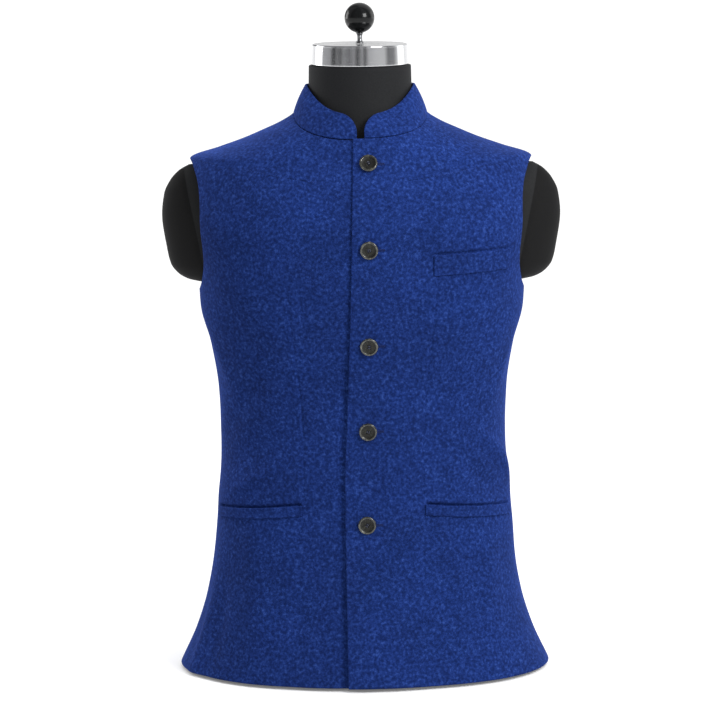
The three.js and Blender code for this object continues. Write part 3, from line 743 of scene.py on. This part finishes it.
# ---------------------------------------------------------------------------
# Five buttons of dark imitation horn: cast polyester, turned with a polished rim round a
# dull dish, drilled with four holes and sewn on over a thread shank.
BUTTON = {"thickness": 3.6, "hole": 1.1, "spread": 2.5}
BUTTONS = [
    {"z": 641, "x": 9}, {"z": 543, "x": 9}, {"z": 426, "x": 8}, {"z": 319, "x": 6}, {"z": 203, "x": 4},
]
BUTTON_PROFILE = [
    (0, 0), (8.6, 0), (9.6, 0.25), (10.5, 0.9), (10.95, 1.7), (10.9, 2.5), (10.5, 3.2), (9.8, 3.55),
    (9.1, 3.55), (8.5, 3.25), (7.9, 2.7), (7.0, 2.35), (5.5, 2.2), (3.5, 2.25), (1.8, 2.3), (0, 2.3),
]
TURNS = 64


def turned(name, profile, finish, turns=TURNS):
    """A solid of revolution about +Z from a profile of radius and height, both ends on the axis."""
    points, faces = [], []
    rings = []
    for radius, height in profile:
        if radius == 0:
            rings.append([len(points)])
            points.append((0, 0, height))
            continue
        rings.append(list(range(len(points), len(points) + turns)))
        for k in range(turns):
            angle = 2 * math.pi * k / turns
            points.append((radius * math.cos(angle), radius * math.sin(angle), height))
    for lower, upper in zip(rings, rings[1:]):
        for k in range(turns):
            j = (k + 1) % turns
            a, b = lower[k % len(lower)], lower[j % len(lower)]
            c, d = upper[j % len(upper)], upper[k % len(upper)]
            faces.append(list(dict.fromkeys((a, b, c, d))))
    mesh = bpy.data.meshes.new(name)
    mesh.from_pydata([tuple(c * MM for c in p) for p in points], [], faces)
    finish_mesh(mesh, finish)
    return mesh


def horn_finish(name, colours, **values):
    """Marbled casting resin in a row of colours, from its darkest streaks to its palest."""
    made, tree, shader = material(name, colours[1], IOR=1.5, **values)
    spot = node(tree, "ShaderNodeTexCoord").outputs["Object"]
    marble = node(tree, "ShaderNodeTexNoise", {}, {
        "Vector": spot, "Scale": 1 / (9 * MM), "Detail": 4.0, "Distortion": 1.6,
    })
    tree.links.new(
        ramp(tree, marble.outputs["Fac"], list(zip((0.34, 0.5, 0.6, 0.72), colours))),
        shader.inputs["Base Color"],
    )
    grain = node(tree, "ShaderNodeTexNoise", {}, {"Vector": spot, "Scale": 1 / (0.8 * MM)})
    bump = node(tree, "ShaderNodeBump", {}, {
        "Strength": 0.12, "Distance": 0.1 * MM, "Height": grain.outputs["Fac"],
    })
    tree.links.new(bump.outputs[0], shader.inputs["Normal"])
    return made


dish_horn = horn_finish(
    "dull_imitation_horn", ("#0b0b0a", "#161613", "#22231e", "#34352d"),
    Roughness=0.5, Specular_IOR_Level=0.3,
)
# The rim's horn colours are paler than the dish's: a painted highlight round the polished rim.
rim_horn_painted_highlight = horn_finish(
    "polished_horn_painted_highlight", ("#1d1e1b", "#34352f", "#53544b", "#77786c"),
    Roughness=0.2, Coat_Weight=0.5, Coat_Roughness=0.08,
)
RIM_INNER = 8.3
STRAND = 0.5  # the pitch of a sewing thread's twist


def thread_finish(name, base, colours, **values):
    """Twisted polyester thread, matt, in two close shades across its twist."""
    made, tree, shader = material(name, base, **values)
    spot = node(tree, "ShaderNodeTexCoord").outputs["Object"]
    strand = node(tree, "ShaderNodeTexWave", {}, {"Vector": spot, "Scale": 1 / (STRAND * MM)})
    shades = ramp(tree, strand.outputs["Fac"], list(zip((0.2, 0.8), colours)))
    tree.links.new(shades, shader.inputs["Base Color"])
    return made


thread = thread_finish(
    "navy_button_thread", "#141a30", ("#10162a", "#1c2440"), Roughness=0.8, Sheen_Weight=0.3
)
STITCH = {"reach": 1.15, "floor": 2.0, "rise": 0.75, "half_width": 0.75, "half_height": 0.35}
SHANK = {"foot": 1.9, "head": 1.7, "height": 1.9}


def drilled_button():
    mesh = turned("button", BUTTON_PROFILE, dish_horn)
    mesh.materials.append(rim_horn_painted_highlight)
    # Faces past RIM_INNER take the rim's paler horn, which is its painted highlight.
    for face in mesh.polygons:
        face.material_index = int(face.center.to_2d().length > RIM_INNER * MM)
    blank = add_to_scene("blank", mesh)
    drills = []
    for x, y in ((1, 1), (-1, 1), (-1, -1), (1, -1)):
        profile = [(0, -2), (BUTTON["hole"], -2), (BUTTON["hole"], 6), (0, 6)]
        drill = add_to_scene("drill", turned("drill", profile, dish_horn, 20))
        drill.location = (x * BUTTON["spread"] / 2 * MM, y * BUTTON["spread"] / 2 * MM, 0)
        cut = blank.modifiers.new("hole", "BOOLEAN")
        cut.operation = "DIFFERENCE"
        cut.solver = "EXACT"
        cut.object = drill
        drills.append(drill)
    bpy.context.view_layer.update()
    drilled = blank.evaluated_get(bpy.context.evaluated_depsgraph_get())
    finished = bpy.data.meshes.new_from_object(drilled)
    for used in drills + [blank]:
        bpy.data.objects.remove(used)
    return finished


def stitches():
    """The shank and two bars of thread, as one mesh about the button's axis."""
    made = bmesh.new()
    half = BUTTON["spread"] / 2
    for y in (-half, half):
        rows = []
        for k in range(13):
            angle = math.pi * k / 12
            height = STITCH["floor"] + STITCH["rise"] * math.sin(angle)
            centre = Vector((-half * STITCH["reach"] * math.cos(angle), y, height))
            along = Vector((half * math.sin(angle), 0, STITCH["rise"] * math.cos(angle))).normalized()
            up = along.cross(Vector((0, 1, 0)))
            ring = []
            for j in range(8):
                a = 2 * math.pi * j / 8
                offset = STITCH["half_width"] * math.cos(a) * Vector((0, 1, 0))
                offset += STITCH["half_height"] * math.sin(a) * up
                ring.append(made.verts.new((centre + offset) * MM))
            rows.append(ring)
        for lower, upper in zip(rows, rows[1:]):
            for j in range(8):
                made.faces.new((lower[j], lower[(j + 1) % 8], upper[(j + 1) % 8], upper[j]))
        made.faces.new(rows[0][::-1])
        made.faces.new(rows[-1])
    bmesh.ops.create_cone(
        made, cap_ends=True, segments=20,
        radius1=SHANK["foot"] * MM, radius2=SHANK["head"] * MM, depth=SHANK["height"] * MM,
    )
    bmesh.ops.recalc_face_normals(made, faces=made.faces)
    mesh = bpy.data.meshes.new("stitches")
    made.to_mesh(mesh)
    made.free()
    mesh.materials.append(thread)
    mesh.shade_smooth()
    return mesh


button_mesh = drilled_button()
stitch_mesh = stitches()
for i, row in enumerate(BUTTONS):
    z = np.array(float(row["z"]))
    turn = turn_at_x(np.array(float(row["x"])), z)
    normal = Vector(body_normals(turn, z))
    low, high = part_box(f"button_{i + 1}")
    middle = (Vector(low) + Vector(high)) / 2
    foot = middle - normal * BUTTON["thickness"] / 2 * MM
    # Each is sewn on at its own turn, so their holes and marbling don't line up.
    spin = Matrix.Rotation(0.5 + 1.3 * i, 4, "Z")
    outward = Vector((0, 0, 1)).rotation_difference(normal).to_matrix().to_4x4()
    placed = Matrix.Translation(foot) @ outward @ spin
    for kind, source in (("button", button_mesh), ("thread", stitch_mesh)):
        mesh = source.copy()
        mesh.transform(placed)
        piece = add_to_scene(f"{kind}_piece_{i + 1}", mesh)
        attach(piece, "root")
        if kind == "button":
            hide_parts(f"button_{i + 1}")

# ---------------------------------------------------------------------------
# Five buttonholes, each a slit in the outer front that is whipped round with twist a shade
# darker than the cloth. One end of each shows beside its button.
twist = thread_finish(
    "royal_buttonhole_twist", "#12225a", ("#0b1740", "#172a64"), Roughness=0.75, Specular_IOR_Level=0.2
)
HOLE = {"shift": 7.5, "half_length": 11, "half_width": 0.9, "thread": 0.7, "whips": 40, "lift": 0.1}


def buttonhole(x_middle, z_middle):
    """A ring of thread round the slit, in mm, whose ridges are the whipped stitches."""
    steps, sides = HOLE["whips"] * 4, 10
    a = np.linspace(0, 2 * math.pi, steps + 1)[:-1]
    x = x_middle + HOLE["shift"] + HOLE["half_length"] * np.sign(np.cos(a)) * np.abs(np.cos(a)) ** 0.6
    z = z_middle + HOLE["half_width"] * np.sign(np.sin(a)) * np.abs(np.sin(a)) ** 0.35
    ridge = HOLE["thread"] * (1 + 0.2 * np.cos(a * HOLE["whips"]))
    rings = []
    for k in range(sides):
        b = 2 * math.pi * k / sides
        wide = ridge * math.cos(b)
        ring_z = z + np.sign(np.sin(a)) * wide
        turn = turn_at_x(x + np.cos(a) ** 9 * wide, ring_z)
        out = overlap_lift(turn, ring_z) + CLOTH + HOLE["lift"] + 0.6 * ridge * math.sin(b)
        rings.append(body_at(turn, ring_z, out))
    return np.stack(rings)


for i, row in enumerate(BUTTONS):
    rings = buttonhole(row["x"], row["z"])
    sides, steps = rings.shape[:2]
    index = np.arange(sides * steps).reshape(sides, steps)
    ahead, beside = np.roll(index, -1, 1), np.roll(index, -1, 0)
    faces = np.stack([index, ahead, np.roll(ahead, -1, 0), beside], -1).reshape(-1, 4)
    mesh = bpy.data.meshes.new("buttonhole")
    mesh.from_pydata((rings.reshape(-1, 3) * MM).tolist(), [], faces.tolist())
    mesh.materials.append(twist)
    mesh.shade_smooth()
    piece = add_to_scene(f"buttonhole_piece_{i + 1}", mesh)
    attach(piece, "root")

# ---------------------------------------------------------------------------
# The dress form: a hollow moulded torso with its neck block, and two arm stubs set on at
# the shoulders. All of it is covered in matt black stretch jersey.
FORM = [
    {"z": 0, "side": 168, "front": 106, "back": 105, "square": 2.2},
    {"z": 60, "side": 171, "front": 108, "back": 108, "square": 2.2},
    {"z": 130, "side": 171, "front": 105, "back": 106, "square": 2.2},
    {"z": 215, "side": 165, "front": 101, "back": 98, "square": 2.2},
    {"z": 290, "side": 160, "front": 98, "back": 91, "square": 2.2},
    {"z": 350, "side": 164, "front": 101, "back": 91, "square": 2.25},
    {"z": 415, "side": 175, "front": 109, "back": 98, "square": 2.3},
    {"z": 480, "side": 190, "front": 118, "back": 108, "square": 2.35},
    {"z": 540, "side": 197, "front": 122, "back": 112, "square": 2.35},
    {"z": 595, "side": 203, "front": 114, "back": 109, "square": 2.2},
    {"z": 635, "side": 202, "front": 89, "back": 87, "square": 2.0},
    {"z": 648, "side": 170, "front": 84, "back": 82, "square": 2.0},
    {"z": 659, "side": 141, "front": 79, "back": 75, "square": 2.0},
    {"z": 669, "side": 118, "front": 73.5, "back": 70, "square": 2.0},
    {"z": 680, "side": 95, "front": 68, "back": 65.5, "square": 2.0},
    {"z": 692, "side": 77, "front": 63.5, "back": 63.5, "square": 2.0},
    {"z": 705, "side": 68.5, "front": 61.5, "back": 62, "square": 2.0},
    {"z": 718, "side": 64, "front": 60.5, "back": 60.5, "square": 2.0},
    {"z": 757, "side": 63, "front": 60, "back": 60, "square": 2.0},
]
STUB = [
    {"z": 491, "reach": 204, "depth": 22}, {"z": 494, "reach": 216, "depth": 31},
    {"z": 501, "reach": 228, "depth": 37}, {"z": 513, "reach": 237, "depth": 41},
    {"z": 535, "reach": 242, "depth": 43}, {"z": 574, "reach": 247, "depth": 44},
    {"z": 600, "reach": 244, "depth": 42}, {"z": 617, "reach": 236, "depth": 37},
    {"z": 629, "reach": 225, "depth": 29}, {"z": 636, "reach": 213, "depth": 18},
]
STUB_ROOT = 150
# Each stub's end cover is sewn on along a slanting seam, this far out at this height.
COVER_SEAM = {"x": 200, "z": 540, "slant": 0.2, "pinch": 0.022, "width": 1.8}
NECK_ROUND, FOOT_ROUND = 1.2, 3

# Jersey over a hard form is smooth and quite matt. Its knit loops are too fine to show, so
# they are drawn at 1.5 mm.
LOOP = 1.5


def knit_finish(name, base):
    made, tree, shader = material(
        name, base, Roughness=0.75, Specular_IOR_Level=0.2,
        Sheen_Weight=0.03, Sheen_Roughness=0.5, Sheen_Tint=linear("#9a9ca0"),
    )
    spot = node(tree, "ShaderNodeTexCoord").outputs["Object"]
    knit = node(tree, "ShaderNodeTexNoise", {}, {"Vector": spot, "Scale": 1 / (LOOP * MM), "Detail": 2.0})
    bump = node(tree, "ShaderNodeBump", {}, {
        "Strength": 0.2, "Distance": 0.2 * MM, "Height": knit.outputs["Fac"],
    })
    tree.links.new(bump.outputs[0], shader.inputs["Normal"])
    return made, tree, shader, spot, knit.outputs["Fac"]


jersey, tree, shader, spot, knit = knit_finish("black_stretch_jersey", "#242527")
tree.links.new(ramp(tree, knit, [(0.3, "#161719"), (0.7, "#1d1e20")]), shader.inputs["Base Color"])

# Past their seams the stubs' ends are painted a deeper black: painted shade on the stubs, whose sides turn
# from the light.
stub_jersey_painted_shade, tree, shader, spot, knit = knit_finish("black_stub_jersey_painted_shade", "#121314")
axes = node(tree, "ShaderNodeSeparateXYZ", {}, {"Vector": spot})
out = node(tree, "ShaderNodeMath", {"operation": "ABSOLUTE"}, {0: axes.outputs["X"]})
past = node(tree, "ShaderNodeMath", {"operation": "MULTIPLY_ADD"}, {
    0: axes.outputs["Z"], 1: -COVER_SEAM["slant"], 2: out.outputs[0],
})
seam_line = (COVER_SEAM["x"] - COVER_SEAM["slant"] * COVER_SEAM["z"]) * MM
# The mask past the seam line, where the painted shade goes.
covered = node(tree, "ShaderNodeMapRange", {}, {
    "Value": past.outputs[0], "From Min": seam_line - 0.5 * MM, "From Max": seam_line + 0.5 * MM,
})
shade = node(tree, "ShaderNodeMix", {"data_type": "RGBA"}, {
    "Factor": covered.outputs[0],
    6: ramp(tree, knit, [(0.3, "#1a1b1c"), (0.7, "#202123")]),
    7: ramp(tree, knit, [(0.3, "#070708"), (0.7, "#0c0c0d")]),
})
tree.links.new(shade.outputs[2], shader.inputs["Base Color"])


def loft(name, rings, finish):
    """A closed skin through rings of points, in mm, from the lowest up, with flat ends."""
    count, size = len(rings), len(rings[0])
    points = np.concatenate(rings).tolist()
    faces = []
    for r in range(count - 1):
        for k in range(size):
            a, b = r * size + k, r * size + (k + 1) % size
            faces.append((a, b, b + size, a + size))
    faces.append(tuple(range(size))[::-1])
    faces.append(tuple(range((count - 1) * size, count * size)))
    mesh = bpy.data.meshes.new(name)
    mesh.from_pydata([[c * MM for c in p] for p in points], [], faces)
    finish_mesh(mesh, finish)
    mesh.set_sharp_from_angle(angle=math.radians(50))
    return add_to_scene(name, mesh)


wall_top = FORM[-1]["z"] - NECK_ROUND
heights = np.concatenate([
    [0, 0.6, 1.6, FOOT_ROUND], np.linspace(8, 630, 90), np.linspace(633, 715, 50),
    np.linspace(718, wall_top, 10), wall_top + NECK_ROUND * np.sin(np.radians([25, 50, 70, 90])),
])
turns = np.linspace(0, 2 * math.pi, 145)[:-1]
rings = []
for z in heights:
    over = max(0.0, (z - wall_top) / NECK_ROUND)
    under = max(0.0, 1 - z / FOOT_ROUND)
    inset = NECK_ROUND * (1 - math.sqrt(max(0.0, 1 - over ** 2)))
    inset += FOOT_ROUND * (1 - math.sqrt(1 - under ** 2))
    rings.append(around(turns, section_reach(FORM, turns, np.full_like(turns, z)) - inset, z))
form_body = loft("form_body", rings, jersey)
low, high = STUB[0]["z"], STUB[-1]["z"]
stub_heights = [low + (high - low) * (1 - math.cos(math.pi * k / 60)) / 2 for k in range(61)]
form_pieces = [form_body]
for side, name in ((1, "left"), (-1, "right")):
    rings = []
    for z in stub_heights:
        reach, depth = column(STUB, "reach", z), column(STUB, "depth", z)
        x = STUB_ROOT + (reach - STUB_ROOT) * np.sin(turns)
        seam = COVER_SEAM["x"] + COVER_SEAM["slant"] * (z - COVER_SEAM["z"])
        pinch = 1 - COVER_SEAM["pinch"] * np.exp(-(((x - seam) / COVER_SEAM["width"]) ** 2))
        y = -depth * pinch * np.cos(turns)
        rings.append(np.stack([side * x, side * y, np.full_like(x, z)], -1))
    form_pieces.append(loft(f"form_stub_{name}", rings, stub_jersey_painted_shade))
for piece in form_pieces:
    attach(piece, "root")
    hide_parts("dress_form")

# ---------------------------------------------------------------------------
# The neck cap: a shallow drum spun from steel sheet and chromed, pressed over the neck. Its
# wall leans in slightly, and its top is dished. Polished chrome mirrors the room in dark and
# pale bars, and the spinning left faint marks round it.
chrome, tree, shader = material("polished_chrome", "#d9dadc", Metallic=1.0, Roughness=0.09)
spot = node(tree, "ShaderNodeTexCoord").outputs["Object"]
lines = node(tree, "ShaderNodeMapping", {}, {"Vector": spot, "Scale": (1.0, 1.0, 40.0)})
spin_marks = node(tree, "ShaderNodeTexNoise", {}, {
    "Vector": lines.outputs[0], "Scale": 60.0, "Detail": 3.0,
})
rough = node(tree, "ShaderNodeMapRange", {}, {
    "Value": spin_marks.outputs["Fac"], "To Min": 0.06, "To Max": 0.16,
})
tree.links.new(rough.outputs[0], shader.inputs["Roughness"])
low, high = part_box("neck_cap")
radius = (high[0] - low[0]) / 2 / MM
height = (high[2] - low[2]) / MM
CAP_ROUND, CAP_FOOT_ROUND = 1.6, 0.5
CAP_DRAUGHT = 1.1  # the wall leans in by this much at the top
CAP_STEP = 0.2  # between the wall's own rings and its rounded ends
CAP_DISH = {"radius": 9, "depth": 0.5}
profile = [(0, 0), (radius - CAP_FOOT_ROUND, 0)]
for k in range(1, 5):
    a = math.pi / 2 * k / 4
    inset = CAP_FOOT_ROUND * (1 - math.sin(a))
    profile.append((radius - inset, CAP_FOOT_ROUND * (1 - math.cos(a))))
wall_foot, wall_head = CAP_FOOT_ROUND + CAP_STEP, height - CAP_ROUND
for k in range(13):
    rise = (wall_head - CAP_STEP - wall_foot) * k / 12
    profile.append((radius - CAP_DRAUGHT * k / 12, wall_foot + rise))
for k in range(5):
    a = math.pi / 2 * k / 4
    inset = CAP_DRAUGHT + CAP_ROUND * (1 - math.cos(a))
    profile.append((radius - inset, wall_head + CAP_ROUND * math.sin(a)))
dish_floor = height - CAP_DISH["depth"]
profile += [(CAP_DISH["radius"], height), (CAP_DISH["radius"] - 1, dish_floor), (0, dish_floor)]
mesh = turned("neck_cap", profile, chrome, 128)
mesh.transform(Matrix.Translation((0, 0, low[2])))
mesh.set_sharp_from_angle(angle=math.radians(40))
cap = add_to_scene("chrome_neck_cap", mesh)
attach(cap, "root")
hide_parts("neck_cap")

# ---------------------------------------------------------------------------
# The stem: a turned steel pin with a small flare at each end, screwed into the cap. Bright
# steel from the lathe is softer than chrome, and ringed by the tool.
steel, tree, shader = material("turned_steel", "#8d8e90", Metallic=1.0, Roughness=0.28)
spot = node(tree, "ShaderNodeTexCoord").outputs["Object"]
FEED = 0.6  # the pitch of the lathe's marks
tool_marks = node(tree, "ShaderNodeTexWave", {"bands_direction": "Z"}, {
    "Vector": spot, "Scale": 1 / (FEED * MM),
})
rough = node(tree, "ShaderNodeMapRange", {}, {
    "Value": tool_marks.outputs["Fac"], "To Min": 0.22, "To Max": 0.34,
})
tree.links.new(rough.outputs[0], shader.inputs["Roughness"])
low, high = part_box("knob_stem")
height = (high[2] - low[2]) / MM
profile = [
    (0, 0), (4.7, 0), (5, 0.4), (5, 1.2), (4.4, 1.9), (3.5, 3.2), (3.2, 5), (3.2, height - 3),
    (3.5, height - 1.6), (4.3, height - 0.5), (4.4, height), (0, height),
]
mesh = turned("knob_stem", profile, steel, 48)
mesh.transform(Matrix.Translation((0, 0, low[2])))
stem = add_to_scene("steel_stem", mesh)
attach(stem, "root")
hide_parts("knob_stem")

# ---------------------------------------------------------------------------
# The knob: a ball of black phenolic plastic, moulded and polished, screwed on the stem. It
# is a deep black with one clear, small highlight, and a few dull smears of handling.
phenolic, tree, shader = material(
    "polished_phenolic", "#101112",
    Roughness=0.16, Specular_IOR_Level=0.22, Coat_Weight=0.12, Coat_Roughness=0.05,
)
spot = node(tree, "ShaderNodeTexCoord").outputs["Object"]
dust = node(tree, "ShaderNodeTexNoise", {}, {"Vector": spot, "Scale": 1 / (6 * MM), "Detail": 4.0})
rough = node(tree, "ShaderNodeMapRange", {}, {
    "Value": dust.outputs["Fac"], "To Min": 0.1, "To Max": 0.26,
})
tree.links.new(rough.outputs[0], shader.inputs["Roughness"])
low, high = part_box("knob")
radius = (high[2] - low[2]) / 2 / MM
KNOB_FLAT = 4.2
profile = [(0, 0), (KNOB_FLAT, 0)]
start = math.asin(KNOB_FLAT / radius)
for k in range(1, 41):
    a = start + (math.pi - start) * k / 40
    profile.append((radius * math.sin(a) if k < 40 else 0, radius - radius * math.cos(a)))
mesh = turned("knob", profile, phenolic, 96)
mesh.transform(Matrix.Translation((0, 0, low[2])))
knob = add_to_scene("phenolic_knob", mesh)
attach(knob, "root")
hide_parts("knob")
